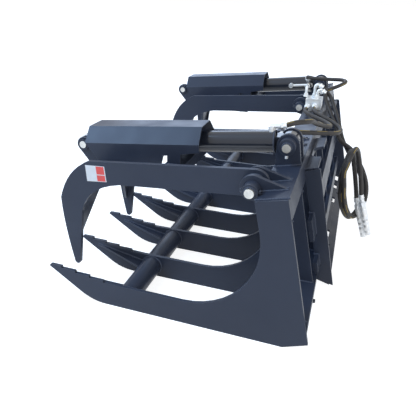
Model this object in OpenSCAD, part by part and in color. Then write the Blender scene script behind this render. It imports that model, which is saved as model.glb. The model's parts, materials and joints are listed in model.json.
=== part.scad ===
// Root grapple for a compact loader. X runs across the machine, Y rearward, Z up from the floor.
// Side outlines are drawn as [distance back, height]; right is +X and the left side mirrors it.

/* [Overall] */
// Width over the two side plates
overall_w = 1828; // [1790:1:1960]
// Distance from the toe of a tine back to its heel
tine_reach = 931; // [900:1:1000]
// Thickness of the side plates and tines
plate_t = 12; // [10:0.5:14]
// Clearance between a pivot pin and its bore, on the diameter
pin_play = 0.1; // [0.04:0.02:0.2]

/* [Tines] */
// Height of a tine over the floor behind its barbs
bar_h = 88; // [82:1:100]
// Height of the toe
toe_h = 118; // [112:1:130]
// Slope of the toe's underside
toe_slope = 33; // [30:0.5:36]
// Radius of the belly where the toe meets the floor line
belly_r = 186; // [150:1:220]
// Number of steps along the top of the toe
barbs = 4; // [2:1:5]
// Length of one step
barb_pitch = 56; // [48:1:60]
// Radius of the throat between tine and column
throat_r = 246; // [200:1:260]
// Depth of the column behind the throat
column_w = 97; // [90:1:110]
// Lean of the rear frame, forward as it rises
lean = 12.2; // [9:0.1:15]

/* [Frame] */
// Height of the top beam over the heel, along the lean
beam_h = 489; // [475:1:510]
// Thickness of the beams' folded plate
beam_t = 10; // [8:0.5:12]
// Outside diameter of the front tube
tube_d = 76; // [60:1:78]
// Wall of the front tube
tube_wall = 6; // [4:0.5:8]

/* [Loader mount] */
// Width over the end plates of the loader mount
mount_w = 1144; // [1130:1:1150]
// Depth of the end plates behind the tines
mount_depth = 52; // [45:1:70]
// Width of the mount shelf's slots, front to back
slot_w = 31; // [26:1:32]

/* [Claws] */
// Distance of each claw's middle from the machine's middle
claw_x = 566; // [555:1:575]
// Distance between the middles of a claw's two arm plates
arm_gap = 445; // [430:1:450]
// Thickness of an arm plate
arm_t = 15; // [12:0.5:18]
// Diameter of the claw's pivot pins
pivot_d = 30; // [30:1:38]
// Reach of the claw tip ahead of its pivot
claw_reach = 666; // [640:1:680]
// Drop of the claw tip below its pivot
claw_drop = 424; // [405:1:424]

/* [Cylinders] */
// Bore of the cylinders
bore_d = 63; // [50:1:66]
// Wall of a cylinder barrel
barrel_wall = 6.5; // [5:0.5:7]
// Diameter of the piston rod
rod_d = 35; // [28:1:38]
// Diameter of the pins through a cylinder's two eyes
eye_pin_d = 28; // [26:1:32]

/* [Hoses] */
// Outside diameter of the hoses
hose_d = 18; // [14:1:18]
// Sides of a hose's modelled section
hose_sides = 8; // [8:1:10]

/* [Hidden] */
$fn = 48;
// Overrun of a cut past the face that it opens
over = 1;
paint = "#3f4655";
zinc = "#b9bdba";
rubber = "#26211f";
steel = "#8b8d8f";

// Places in the side view
toe_y = -11;
heel_y = tine_reach + toe_y;
heel_z = 31;
heel_run = 78;
pitch = (overall_w - plate_t) / 8;
inner_w = overall_w - 2 * plate_t;
function rear(n, h) = [heel_y + n * cos(lean) - h * sin(lean), heel_z + n * sin(lean) + h * cos(lean)];
beam_front = rear(-column_w, beam_h);
// The claws' pivot, ahead of the top beam
pivot_ahead = 24;
pivot_up = 7.5;
pivot = beam_front + [-pivot_ahead, pivot_up];
// The cylinders' base pin, over the beam
base_back = 43;
base_up = 82;
base = beam_front + [base_back, base_up];
// The rod's pin, carried by the claw
rod_ahead = 718;
rod_below = 16;
rod_eye = pivot - [rod_ahead, rod_below];
stroke_line = base - rod_eye;
cyl_len = norm(stroke_line);
cyl_tilt = atan2(stroke_line.y, stroke_line.x);
// The model's own middle, front to back, from the rods' eyes to the end plates
rod_eye_d = 66;
mid_y = (rod_eye.x - rod_eye_d / 2 + rear(mount_depth, -over).x) / 2;

// Curves and shapes shared by the pieces
function arc(c, r, a0, a1, n) = [for (i = [0:n]) let(a = a0 + (a1 - a0) * i / n) c + r * [cos(a), sin(a)]];
function curve(a, b, c, n) = [for (i = [0:n]) let(t = i / n) (1 - t) * (1 - t) * a + 2 * t * (1 - t) * b + t * t * c];
function tangent(c, r, p, side) = let(d = p - c, a = atan2(d.y, d.x) + side * acos(r / norm(d)))
    c + r * [cos(a), sin(a)];
function unit(v) = v / norm(v);

module plate(x, t) translate([x - t / 2, 0, 0]) rotate([90, 0, 90]) linear_extrude(t) children();
module at(p) translate([0, p.x, p.y]) children();
module bar(x0, x1, d) translate([x0, 0, 0]) rotate([0, 90, 0]) cylinder(h = x1 - x0, d = d);
module round_bore(x0, x1, d) bar(x0 - over, x1 + over, d);
module side(s) mirror([s < 0 ? 1 : 0, 0, 0]) children();
module placed() translate([0, -mid_y, 0]) children();
module rear_rect(n0, n1, h0, h1) polygon([rear(n0, h0), rear(n1, h0), rear(n1, h1), rear(n0, h1)]);
module rear_box(x0, x1, n0, n1, h0, h1) plate((x0 + x1) / 2, x1 - x0) rear_rect(n0, n1, h0, h1);
module nose(c, r, upper, lower) {
    translate(c) circle(r);
    polygon([upper, tangent(c, r, upper, 1), c, tangent(c, r, lower, -1), lower]);
}

// Tines: a toe with steps, a floor line, a heel and a leaning column
throat_up = (bar_h + throat_r - heel_z + (column_w + throat_r) * sin(lean)) / cos(lean);
throat = rear(-column_w - throat_r, throat_up);
toe_nose = 6;
barb_first = 51;
barb_rise = (toe_h - bar_h) / barbs;
belly_z = belly_r * (1 - cos(toe_slope));
belly_y = toe_y + (toe_h - toe_nose - belly_z) / tan(toe_slope) + belly_r * sin(toe_slope);
function barb_edge(j, up) = [toe_y + barb_first + barb_pitch * j, toe_h - barb_rise * (j + 1 - up)];
function tine_outline(top) = concat(
    [[heel_y - heel_run, 0], [heel_y, heel_z], rear(0, top), rear(-column_w, top)],
    arc(throat, throat_r, lean, -90, 12),
    [for (j = [barbs - 1:-1:0], up = [0, 1]) barb_edge(j, up)],
    [[toe_y + toe_nose, toe_h], [toe_y, toe_h - toe_nose]],
    arc([belly_y, belly_r], belly_r, -90 - toe_slope, -90, 6));

// Front tube and the flat gussets that brace each tine against it
tube = [297, 46];
gusset_w = 45;
gusset_t = 8;
gusset_len = 236;
gusset_tilt = 11;
module gusset(x, s) difference() {
    at(tube) rotate([-gusset_tilt, 0, 0]) linear_extrude(gusset_t, center = true) polygon([
        [x, -tube_d / 4],
        [x + s * (plate_t / 2 + gusset_w), -tube_d / 4],
        [x + s * (plate_t / 2 + gusset_w), -tube_d / 2],
        [x + s * plate_t / 2, -gusset_len],
        [x, -gusset_len]]);
    at(tube) bar(x - pitch, x + pitch, tube_d);
}

// Top beam: a channel folded down at both edges
beam_skirt = 68;
beam_lip = 44;
clip_hole_d = 14;
clip_hole = [280, -24];
// Relief in the channel's front edge round each arm's end
relief = 1.5;
// Bottom beam: an angle between the columns, turned down outside the loader mount
sill_z = 100;
sill_y = heel_y - 18;
sill_depth = 72;
sill_drop = 62;
// Rails behind the columns
rail_w = 1280;
rail_upper_h = [215, 295];
rail_upper_t = 14;
rail_lower_h = [90, 130];
rail_lower_t = 15;

// Loader mount
end_t = 10;
end_foot = 26.5;
end_top = [451, 455];
lip_h = 455;
lip_t = 10;
lip_depth = 42;
// Weld gap between a lip and the beam
lip_gap = 0.3;
lip_inner = 177;
notch_x = 368;
notch_w = 124;
notch_r = 30;
notch_floor = 6;
shelf_t = 10;
shelf_front = [heel_y - 40, 67];
shelf_rear = [heel_y + 40, 44];
slot_y = heel_y - 6.5;
slot_x = [187, 374, 505];
slot_len = [64, 58, 85];
peg_hole = [287, heel_y + 16];
peg_hole_d = 12;
shelf_tilt = atan2(shelf_rear.y - shelf_front.y, shelf_rear.x - shelf_front.x);
shelf_down = shelf_t * [sin(shelf_tilt), -cos(shelf_tilt)];
module shelf_profile(extra) {
    back = shelf_rear + extra * [cos(shelf_tilt), sin(shelf_tilt)];
    polygon([shelf_front, back, back + shelf_down, shelf_front + shelf_down]);
}

module tine_notches(i) {
    rear_rect(-beam_t, over, beam_h - beam_skirt, beam_h);
    rear_rect(-column_w - over, beam_t - column_w, beam_h - beam_lip, beam_h);
    translate([sill_y - sill_depth, sill_z]) square([sill_depth + heel_z, beam_t]);
    if (abs(i) > 2) translate([sill_y, sill_z - sill_drop]) square([heel_z, sill_drop + beam_t]);
    else shelf_profile(shelf_t);
}

module tine(i) placed() color(paint) {
    difference() {
        plate(i * pitch, plate_t) difference() {
            polygon(tine_outline(beam_h - beam_t));
            tine_notches(i);
        }
        at(tube) round_bore(i * pitch - plate_t / 2, i * pitch + plate_t / 2, tube_d);
    }
    for (s = [-1, 1]) gusset(i * pitch, s);
}

module side_plate(s) placed() side(s) color(paint) {
    plate(4 * pitch, plate_t) polygon(tine_outline(beam_h));
    gusset(4 * pitch, -1);
}

module front_tube() placed() color(paint) at(tube) difference() {
    bar(-inner_w / 2, inner_w / 2, tube_d);
    round_bore(-inner_w / 2, inner_w / 2, tube_d - 2 * tube_wall);
}

module top_beam() placed() color(paint) difference() {
    plate(0, inner_w) {
        rear_rect(-column_w, 0, beam_h - beam_t, beam_h);
        rear_rect(-beam_t, 0, beam_h - beam_skirt, beam_h);
        rear_rect(-column_w, beam_t - column_w, beam_h - beam_lip, beam_h);
    }
    at(rear(clip_hole.y, beam_h - beam_t - over)) rotate([lean, 0, 0])
        translate([clip_hole.x, 0, 0]) cylinder(h = beam_t + 2 * over, d = clip_hole_d);
    for (s = [-1, 1], k = arms) side(s) at(pivot)
        bar(arm_x(k) - pivot_lug_in, arm_x(k) + pivot_lug_in, 2 * (arm_end_r + relief));
}

module bottom_beam() placed() color(paint) {
    plate(0, inner_w) translate([sill_y - sill_depth, sill_z]) square([sill_depth, beam_t]);
    for (s = [-1, 1]) side(s) plate((inner_w + mount_w) / 4, (inner_w - mount_w) / 2)
        translate([sill_y, sill_z - sill_drop]) square([beam_t, sill_drop + beam_t]);
}

// Each rail is in three lengths: one between the end plates and one outside each of them
module rail(h, t) placed() color(paint) {
    rear_box(end_t - mount_w / 2, mount_w / 2 - end_t, 0, t, h.x, h.y);
    for (s = [-1, 1]) side(s) rear_box(mount_w / 2, rail_w / 2, 0, t, h.x, h.y);
}

module mount_end(s) placed() side(s) color(paint) plate(mount_w / 2 - end_t / 2, end_t)
    polygon([rear(0, end_foot), rear(mount_depth, -over), rear(mount_depth, end_top.y), rear(0, end_top.x)]);

module lip_notch() {
    x0 = notch_x - notch_w / 2;
    rear_box(x0 + notch_r, x0 + notch_w - notch_r, notch_floor, lip_depth + over, lip_h - lip_t - over, lip_h + over);
    rear_box(x0, x0 + notch_w, notch_floor + notch_r, lip_depth + over, lip_h - lip_t - over, lip_h + over);
    for (x = [x0 + notch_r, x0 + notch_w - notch_r]) at(rear(notch_floor + notch_r, lip_h - lip_t - over))
        rotate([lean, 0, 0]) translate([x, 0, 0]) cylinder(h = lip_t + 2 * over, r = notch_r);
}

module top_lip(s) placed() side(s) color(paint) difference() {
    rear_box(lip_inner, mount_w / 2 - end_t, lip_gap, lip_depth, lip_h - lip_t, lip_h);
    lip_notch();
}

// Mount shelf: a front bar and a rear bar, joined by ties that leave the slots between them
module shelf_strip(y0, y1) intersection() {
    shelf_profile(0);
    translate([y0, 0]) square([y1 - y0, shelf_front.y + over]);
}
module shelf_front_bar() placed() color(paint) plate(0, mount_w - 2 * end_t)
    shelf_strip(shelf_front.x - shelf_t, slot_y - slot_w / 2);
module shelf_rear_bar() placed() color(paint) difference() {
    plate(0, mount_w - 2 * end_t) shelf_strip(slot_y + slot_w / 2, shelf_rear.x + shelf_t);
    for (s = [-1, 1]) translate([s * peg_hole.x, peg_hole.y, 0]) cylinder(h = shelf_front.y + over, d = peg_hole_d);
}
function tie_from(i) = slot_x[i - 1] + slot_len[i - 1] / 2;
function tie_to(i) = i > 2 ? mount_w / 2 - end_t : slot_x[i] - slot_len[i] / 2;
module shelf_ties() placed() color(paint) {
    plate(0, 2 * tie_to(0)) shelf_strip(slot_y - slot_w / 2, slot_y + slot_w / 2);
    for (s = [-1, 1], i = [1:3]) side(s) plate((tie_from(i) + tie_to(i)) / 2, tie_to(i) - tie_from(i))
        shelf_strip(slot_y - slot_w / 2, slot_y + slot_w / 2);
}

// Claw pivots: two lugs and one pin for each arm plate
pivot_lug_t = 15;
pivot_lug_in = 31;
pivot_lug_r = 40;
lug_back = 13;
lug_foot = 440;
boss_d = 60;
boss_half = 30.5;
arms = [1, -1];
function arm_x(k) = claw_x + k * arm_gap / 2;
module pivot_lugs(s) placed() side(s) color(paint) for (k = arms, j = arms)
    plate(arm_x(k) + j * (pivot_lug_in + pivot_lug_t / 2), pivot_lug_t) difference() {
        nose(pivot, pivot_lug_r, rear(-lug_back, beam_h), rear(-column_w + beam_t, lug_foot));
        translate(pivot) circle(d = pivot_d);
        rear_rect(-column_w, 0, 0, beam_h);
    }

pin_out = 95;
pin_in = 52;
collar_d = 50;
collar_from = 47;
collar_to = 84;
cross_bolt_d = 8;
cross_bolt_len = 62;
cross_bolt_at = 72;
module pivot_pins(s) placed() side(s) color(zinc) for (k = arms) at(pivot)
    translate([arm_x(k), 0, 0]) mirror([k < 0 ? 1 : 0, 0, 0]) {
        bar(-pin_in, pin_out, pivot_d);
        bar(collar_from, collar_to, collar_d);
        translate([cross_bolt_at, -cross_bolt_len / 2, 0]) rotate([-90, 0, 0]) cylinder(h = cross_bolt_len, d = cross_bolt_d);
    }

// Cylinder ears: two plates on the beam with the base pin through them
ear_in = 30;
ear_t = 15;
ear_r = 37.5;
ear_feet = [-92, -4];
ear_arc = [180, 10];
module cylinder_ears(s) placed() side(s) color(paint) for (j = arms)
    plate(claw_x + j * (ear_in + ear_t / 2), ear_t) difference() {
        polygon(concat([rear(ear_feet.x, beam_h)], arc(base, ear_r, ear_arc.x, ear_arc.y, 14), [rear(ear_feet.y, beam_h)]));
        translate(base) circle(d = eye_pin_d);
    }

base_pin_half = 88;
base_collar_d = 56;
base_collar = [47, 74];
zerk_d = 7;
zerk_len = 36;
module base_pin(s) placed() side(s) color(zinc) at(base) translate([claw_x, 0, 0]) {
    bar(-base_pin_half, base_pin_half, eye_pin_d);
    for (k = arms) mirror([k < 0 ? 1 : 0, 0, 0]) {
        bar(base_collar.x, base_collar.y, base_collar_d);
        translate([(base_collar.x + base_collar.y) / 2, 0, -zerk_len]) cylinder(h = zerk_len, d = zerk_d);
    }
}

// Claw arms: a straight top, a knuckle and a tooth, as shares of reach and drop
arm_end_r = 45;
tip_r = 12;
knuckle_shares = [[0.883, 0.014], [1.02, 0.11], [1.071, 0.38], [1.069, 0.627]];
inside_shares = [[0.949, 0.552], [0.934, 0.25], [0.703, 0.184], [0.587, 0.17]];
function claw_at(share) = pivot - [claw_reach * share.x, claw_drop * share.y];
tip = pivot - [claw_reach, claw_drop];
knuckle_pts = [for (p = knuckle_shares) claw_at(p)];
inside_pts = [for (p = inside_shares) claw_at(p)];
arm_outline = concat(
    [pivot, tangent(pivot, arm_end_r, knuckle_pts[0], -1)],
    curve(knuckle_pts[0], knuckle_pts[1], knuckle_pts[2], 8),
    curve(knuckle_pts[2], knuckle_pts[3], tip + [-tip_r, 0], 6),
    arc(tip, tip_r, 190, 350, 6),
    curve(inside_pts[0], inside_pts[1], inside_pts[2], 8),
    [inside_pts[3], tangent(pivot, arm_end_r, inside_pts[3], 1)]);
module claw_arm(k) difference() {
    union() {
        plate(arm_x(k), arm_t) {
            polygon(arm_outline);
            translate(pivot) circle(arm_end_r);
        }
        at(pivot) bar(arm_x(k) - boss_half, arm_x(k) + boss_half, boss_d);
    }
    at(pivot) round_bore(arm_x(k) - boss_half, arm_x(k) + boss_half, pivot_d + pin_play);
}
module claw_outer(s) placed() side(s) color(paint) claw_arm(1);
module claw_inner(s) placed() side(s) color(paint) claw_arm(-1);

// Claw web: a leaning plate between the arms that runs down each tooth as a point
claw_inside_w = arm_gap - arm_t;
web_t = 12;
web_top = pivot - [603, 58];
web_foot = pivot - [668, 346];
web_line = web_top - web_foot;
web_len = norm(web_line);
web_tilt = atan2(web_line.y, web_line.x);
web_full = 108;
// Widths of a leg at its top and at its tip, as shares of half the web
web_leg_share = 0.58;
web_tip_share = 0.05;
module claw_web(s) placed() side(s) color(paint) at(web_foot) rotate([web_tilt, 0, 0])
    translate([claw_x, 0, 0]) linear_extrude(web_t) polygon([for (p = [
        [1, web_len], [1, 0], [1 - web_tip_share, 0], [1 - web_leg_share, web_len - web_full],
        [web_leg_share - 1, web_len - web_full], [web_tip_share - 1, 0], [-1, 0], [-1, web_len]])
        [p.x * claw_inside_w / 2, p.y]]);

// Crossbar between the arms, a rectangular tube
crossbar = pivot - [353, 70];
crossbar_size = [70, 42];
crossbar_wall = 6;
module claw_crossbar(s) placed() side(s) color(paint) plate(claw_x, claw_inside_w) translate(crossbar) difference() {
    square(crossbar_size);
    translate([crossbar_wall, crossbar_wall]) square(crossbar_size - 2 * [crossbar_wall, crossbar_wall]);
}

// Lugs on the web that hold the rod's pin
lug_r = 28;
lug_in = 30;
lug_t = 12;
lug_top_drop = 4;
lug_low_drop = 100;
function web_face(drop) = web_top + [-drop * web_line.x / web_line.y, -drop]
    + web_t * [-sin(web_tilt), cos(web_tilt)];
module claw_lugs(s) placed() side(s) color(paint) for (j = arms)
    plate(claw_x + j * (lug_in + lug_t / 2), lug_t) difference() {
        nose(rod_eye, lug_r, web_face(lug_top_drop), web_face(lug_low_drop));
        translate(rod_eye) circle(d = eye_pin_d);
    }
rod_pin_half = 50;
rod_collar_d = 45;
rod_collar = [42, 48];
module rod_pin(s) placed() side(s) color(zinc) at(rod_eye) translate([claw_x, 0, 0]) {
    bar(-rod_pin_half, rod_pin_half, eye_pin_d);
    for (k = arms) mirror([k < 0 ? 1 : 0, 0, 0]) bar(rod_collar.x, rod_collar.y, rod_collar_d);
}

// Folded sheet cover over the rod: a flat top, two slopes and two deep sides
cover_t = 3;
cover_half = 98;
cover_flat = 48;
cover_front = pivot - [678, 0];
cover_back = pivot - [228, 0];
// Height of the cover's folded edge over the pivot, at the front and the back, and of its top over that
cover_edge_up = [11, 55];
cover_rise = 52;
cover_legs = 110;
// Lower edge of the sides as shares of the cover's length, with heights over the pivot
cover_low = [[-0.03, 11], [0, 11], [0.13, -54], [0.68, -54], [0.71, 0], [0.741, 3], [0.741, -28], [0.852, -28],
    [0.852, 13], [1, 26], [1.03, 26]];
cover_tilt = atan2(cover_edge_up.y - cover_edge_up.x, cover_back.x - cover_front.x);
module cover_section(half, flat, rise) polygon([[half, -cover_legs], [half, 0], [flat, rise],
    [-flat, rise], [-half, 0], [-half, -cover_legs]]);
module claw_cover(s) placed() side(s) color(paint) difference() {
    deep = cover_back.x - cover_front.x;
    at(cover_back + [0, cover_edge_up.y]) rotate([cover_tilt, 0, 0]) translate([claw_x, 0, 0]) rotate([90, 0, 0])
        linear_extrude(deep / cos(cover_tilt)) difference() {
            cover_section(cover_half, cover_flat, cover_rise);
            translate([0, -over]) cover_section(cover_half - cover_t, cover_flat - cover_t / 2, cover_rise + over - cover_t);
        }
    plate(claw_x, 2 * (cover_half + over)) polygon(concat(
        [for (p = cover_low) cover_front + [deep * p.x, p.y]],
        [cover_back + [cover_legs, -2 * cover_legs], cover_front - [cover_legs, 2 * cover_legs]]));
}

// Cylinders, drawn along +Z from the base pin to the rod's pin, top towards +Y
barrel_d = bore_d + 2 * barrel_wall;
barrel_from = 50;
barrel_to = 480;
cap_t = 22;
eye_d = 66;
eye_half = 28;
eye_neck = 46;
gland_d = barrel_d + 6;
gland_len = 28;
piston_at = 340;
piston_len = 45;
rod_eye_bore = 48;
rod_eye_half = 25;
module along_cylinder() at(base) translate([claw_x, 0, 0]) rotate([90 + cyl_tilt, 0, 0]) children();
module barrel(s) placed() side(s) color(paint) along_cylinder() difference() {
    union() {
        translate([0, 0, barrel_from]) cylinder(h = barrel_to - barrel_from, d = barrel_d);
        translate([0, 0, barrel_to - gland_len]) cylinder(h = gland_len + over, d = gland_d);
        bar(-eye_half, eye_half, eye_d);
        translate([-eye_half, -eye_neck / 2, 0]) cube([2 * eye_half, eye_neck, barrel_from + cap_t / 2]);
    }
    round_bore(-eye_half, eye_half, eye_pin_d + pin_play);
    translate([0, 0, barrel_from + cap_t]) cylinder(h = barrel_to - gland_len - barrel_from - cap_t, d = bore_d);
    translate([0, 0, barrel_to - gland_len - over]) cylinder(h = gland_len + 3 * over, d = rod_d + pin_play);
}
module rod(s) placed() side(s) color(steel) along_cylinder() difference() {
    union() {
        translate([0, 0, piston_at]) cylinder(h = piston_len, d = bore_d - pin_play);
        translate([0, 0, piston_at]) cylinder(h = cyl_len - piston_at, d = rod_d);
        translate([0, 0, cyl_len]) bar(-rod_eye_half, rod_eye_half, rod_eye_d);
    }
    translate([0, 0, cyl_len]) round_bore(-rod_eye_half, rod_eye_half, rod_eye_bore);
}

// Ports: one at the base end, on top with an elbow or turned inwards, and a steel line on the inner side
port_d = 24;
port_up = 16;
port_a_at = 60;
elbow_d = 18;
elbow_len = 30;
port_turn = 60;
port_reach = 66;
port_b_at = 150;
line_d = 12;
line_out = 14;
line_to = 44;
line_elbow = 20;
module ports(s) placed() side(s) color(zinc) along_cylinder() difference() {
    union() {
        if (s > 0) {
            translate([0, 0, port_a_at]) rotate([-90, 0, 0]) cylinder(h = barrel_d / 2 + port_up, d = port_d);
            translate([0, barrel_d / 2 + port_up, port_a_at - elbow_len]) cylinder(h = elbow_len + port_d / 4, d = elbow_d);
        }
        else translate([0, 0, port_a_at]) rotate([-90, 0, port_turn]) cylinder(h = port_reach, d = port_d);
        translate([0, 0, port_b_at]) rotate([0, -90, 0]) cylinder(h = barrel_d / 2 + line_out + line_d, d = port_d);
        translate([-barrel_d / 2 - line_out, 0, line_to]) cylinder(h = port_b_at - line_to, d = line_d);
        translate([-barrel_d / 2 - line_out, 0, line_to]) rotate([0, -90, 0]) cylinder(h = line_elbow, d = elbow_d);
    }
    cylinder(h = cyl_len, d = barrel_d);
}

// Manifold block on the beam, and its fittings
block_x = [-290, -200];
block_feet = [-88, -12];
block_top = 66;
module manifold() placed() color(zinc) plate((block_x.x + block_x.y) / 2, block_x.y - block_x.x) polygon([
    rear(block_feet.x, beam_h), rear(block_feet.y, beam_h),
    [rear(block_feet.y, beam_h).x, beam_front.y + block_top], [rear(block_feet.x, beam_h).x, beam_front.y + block_top]]);
block_mid = (block_x.x + block_x.y) / 2;
fitting_len = 22;
fitting_d = 22;
// Side ports, as [distance back, height]
side_ports = [beam_front + [20, 28], beam_front + [55, 34]];
// Top risers, as [across, back from the beam's front edge], with the height of their elbows over it
riser_at = [[-250, 3.5], [-255, 42.2], [-222, 59.2], [-277, 53.2]];
riser_up = [113.5, 127.5, 109.5, 89.5];
risers = [for (r = riser_at) [r.x, beam_front.x + r.y]];
riser_z = [for (h = riser_up) beam_front.y + h];
riser_d = 14;
elbow_share = 0.6;
module manifold_fittings() placed() color(zinc) {
    for (p = side_ports) at(p) bar(block_x.y, block_x.y + fitting_len, fitting_d);
    for (i = [0:3]) translate([risers[i].x, risers[i].y, beam_front.y + block_top]) {
        cylinder(h = fitting_len, d = fitting_d);
        cylinder(h = riser_z[i] - beam_front.y - block_top + riser_d * elbow_share, d = riser_d);
    }
    translate([risers[0].x - fitting_len, risers[0].y, riser_z[0]]) bar(0, fitting_len, riser_d);
    for (i = [1:3]) translate([risers[i].x, risers[i].y, riser_z[i]]) rotate([-90, 0, 0]) cylinder(h = fitting_len, d = riser_d);
}

// Hoses, swept along hand-set routes through points given as [across, back, up]
module loft(rings) {
    n = len(rings[0]);
    m = len(rings) - 1;
    polyhedron(points = [for (r = rings, p = r) p], faces = concat(
        [[for (k = [0:n - 1]) k], [for (k = [n - 1:-1:0]) m * n + k]],
        [for (i = [0:m - 1], k = [0:n - 1]) [i * n + k, (i + 1) * n + k, (i + 1) * n + (k + 1) % n]],
        [for (i = [0:m - 1], k = [0:n - 1]) [i * n + k, (i + 1) * n + (k + 1) % n, i * n + (k + 1) % n]]));
}
hose_seat = 0.3;
function rings(route, out, into) = let(
        last = len(route) - 1,
        t = [for (i = [0:last]) i == 0 ? out : i == last ? into : unit(route[i + 1] - route[i - 1])],
        first = cross(t[0], abs(t[0].z) < abs(t[0].y) ? [0, 0, 1] : [0, 1, 0]))
    [for (i = 0, u = unit(first); i <= last; i = i + 1, u = i <= last ? unit(u - (u * t[i]) * t[i]) : u)
        [for (k = [0:hose_sides - 1]) let(a = 360 * k / hose_sides)
            route[i] + hose_d / 2 * (cos(a) * u + sin(a) * cross(t[i], u))]];
module hose(start, points, end, out, into) placed() color(rubber)
    loft(rings(concat([start], points, [end]), out, into));

// Faces that the hoses end on, and the ways that they leave them
function on_cylinder(v) = let(a = 90 + cyl_tilt)
    [claw_x + v.x, base.x + v.y * cos(a) - v.z * sin(a), base.y + v.y * sin(a) + v.z * cos(a)];
function left(v) = [-v.x, v.y, v.z];
function side_face(i) = [block_x.y + fitting_len, side_ports[i].x, side_ports[i].y];
function riser_face(i) = [risers[i].x, risers[i].y + fitting_len, riser_z[i]];
cross_face = [risers[0].x - fitting_len, risers[0].y, riser_z[0]];
elbow_face = on_cylinder([0, barrel_d / 2 + port_up, port_a_at - elbow_len - hose_seat]);
elbow_in = unit(on_cylinder([0, 0, 1]) - on_cylinder([0, 0, 0]));
turned = (port_reach + hose_seat) * [-sin(port_turn), cos(port_turn)];
turned_face = left(on_cylinder([turned.x, turned.y, port_a_at]));
turned_out = unit(turned_face - left(on_cylinder([0, 0, port_a_at])));
line_face = on_cylinder([-barrel_d / 2 - line_out - line_elbow - hose_seat, 0, line_to]);

route_right_a = [[-110, 740, 517], [-40, 772, 517], [40, 826, 520], [120, 866, 524],
    [200, 872, 536], [280, 846, 560], [370, 822, 592], [440, 822, 614], [502, 812, 628], [548, 776, 632]];
route_right_b = [[-110, 782, 521], [-30, 822, 520], [50, 880, 514], [130, 914, 510],
    [210, 904, 516], [280, 860, 530], [350, 808, 546], [420, 752, 560]];
route_left_a = [[-474, 704, 614], [-440, 722, 620], [-422, 762, 616], [-420, 820, 610], [-404, 880, 606],
    [-352, 914, 604], [-296, 892, 598], [-278, 844, 586]];
route_left_b = [[-350, 724, 598], [-430, 722, 578]];
route_main_1 = [[-254, 826, 612], [-228, 870, 592], [-150, 906, 538], [-50, 926, 468], [30, 942, 418],
    [80, 950, 350], [90, 956, 216], [112, 972, 160], [170, 986, 134], [228, 996, 158], [252, 1000, 214],
    [256, 992, 290], [254, 982, 366], [232, 974, 426], [180, 970, 450], [127, 973, 424], [104, 984, 356],
    [113, 998, 310], [140, 1005, 287], [167, 1013, 256]];
route_main_2 = [[-217, 844, 585], [-184, 869, 542], [-110, 886, 482], [-20, 906, 430], [40, 924, 378],
    [62, 934, 310], [66, 956, 206], [94, 986, 150], [146, 1010, 126], [206, 1024, 148], [236, 1030, 206],
    [252, 1022, 290], [262, 1010, 362], [244, 1000, 424], [193, 996, 447], [144, 999, 420], [127, 1008, 362],
    [136, 1018, 324], [164, 1024, 304], [193, 1028, 280]];
module hose_right_a() hose(side_face(0), route_right_a, elbow_face, [1, 0, 0], elbow_in);
module hose_right_b() hose(side_face(1), route_right_b, line_face, [1, 0, 0], [1, 0, 0]);
module hose_left_a() hose(turned_face, route_left_a, riser_face(3), turned_out, [0, -1, 0]);
module hose_left_b() hose(cross_face, route_left_b, left(line_face), [-1, 0, 0], [-1, 0, 0]);
module main_hose_1() hose(riser_face(1), route_main_1, coupler_top[0], [0, 1, 0], coupler_axis);
module main_hose_2() hose(riser_face(2), route_main_2, coupler_top[1], [0, 1, 0], coupler_axis);

// Quick couplers, hanging from the ends of the main hoses
coupler_d = 27;
coupler_len = 165;
coupler_neck = 20;
coupler_tilt = 17;
coupler_top = [[174, 1022, 217], [199, 1037, 243]];
coupler_axis = [0, sin(coupler_tilt), -cos(coupler_tilt)];
sleeve = [34, 60];
sleeve_d = 32;
module coupler(i) placed() color(zinc) translate(coupler_top[i]) rotate([180 + coupler_tilt, 0, 0]) {
    cylinder(h = coupler_len, d = coupler_neck);
    translate([0, 0, sleeve.x / 2]) cylinder(h = sleeve.x / 2, d = coupler_d, $fn = 6);
    translate([0, 0, sleeve.x]) cylinder(h = sleeve.y, d = sleeve_d);
    translate([0, 0, sleeve.x + sleeve.y]) cylinder(h = coupler_len - sleeve.x - sleeve.y, d = coupler_d);
}
module coupler_1() coupler(0);
module coupler_2() coupler(1);

side_plate(1);  // side_plate_right
side_plate(-1);  // side_plate_left
tine(3);  // tine_1
tine(2);  // tine_2
tine(1);  // tine_3
tine(0);  // tine_4
tine(-1);  // tine_5
tine(-2);  // tine_6
tine(-3);  // tine_7
front_tube();
top_beam();
bottom_beam();
rail(rail_upper_h, rail_upper_t);  // rail_upper
rail(rail_lower_h, rail_lower_t);  // rail_lower
mount_end(1);  // mount_end_right
mount_end(-1);  // mount_end_left
top_lip(1);  // top_lip_right
top_lip(-1);  // top_lip_left
shelf_front_bar();
shelf_rear_bar();
shelf_ties();
pivot_lugs(1);  // pivot_lugs_right
pivot_lugs(-1);  // pivot_lugs_left
cylinder_ears(1);  // cylinder_ears_right
cylinder_ears(-1);  // cylinder_ears_left
pivot_pins(1);  // pivot_pins_right
pivot_pins(-1);  // pivot_pins_left
base_pin(1);  // base_pin_right
base_pin(-1);  // base_pin_left
manifold();
manifold_fittings();
claw_outer(1);  // claw_outer_right
claw_inner(1);  // claw_inner_right
claw_web(1);  // claw_web_right
claw_crossbar(1);  // claw_crossbar_right
claw_lugs(1);  // claw_lugs_right
claw_cover(1);  // claw_cover_right
rod_pin(1);  // rod_pin_right
claw_outer(-1);  // claw_outer_left
claw_inner(-1);  // claw_inner_left
claw_web(-1);  // claw_web_left
claw_crossbar(-1);  // claw_crossbar_left
claw_lugs(-1);  // claw_lugs_left
claw_cover(-1);  // claw_cover_left
rod_pin(-1);  // rod_pin_left
barrel(1);  // barrel_right
ports(1);  // ports_right
rod(1);  // rod_right
barrel(-1);  // barrel_left
ports(-1);  // ports_left
rod(-1);  // rod_left
hose_right_a();
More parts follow.
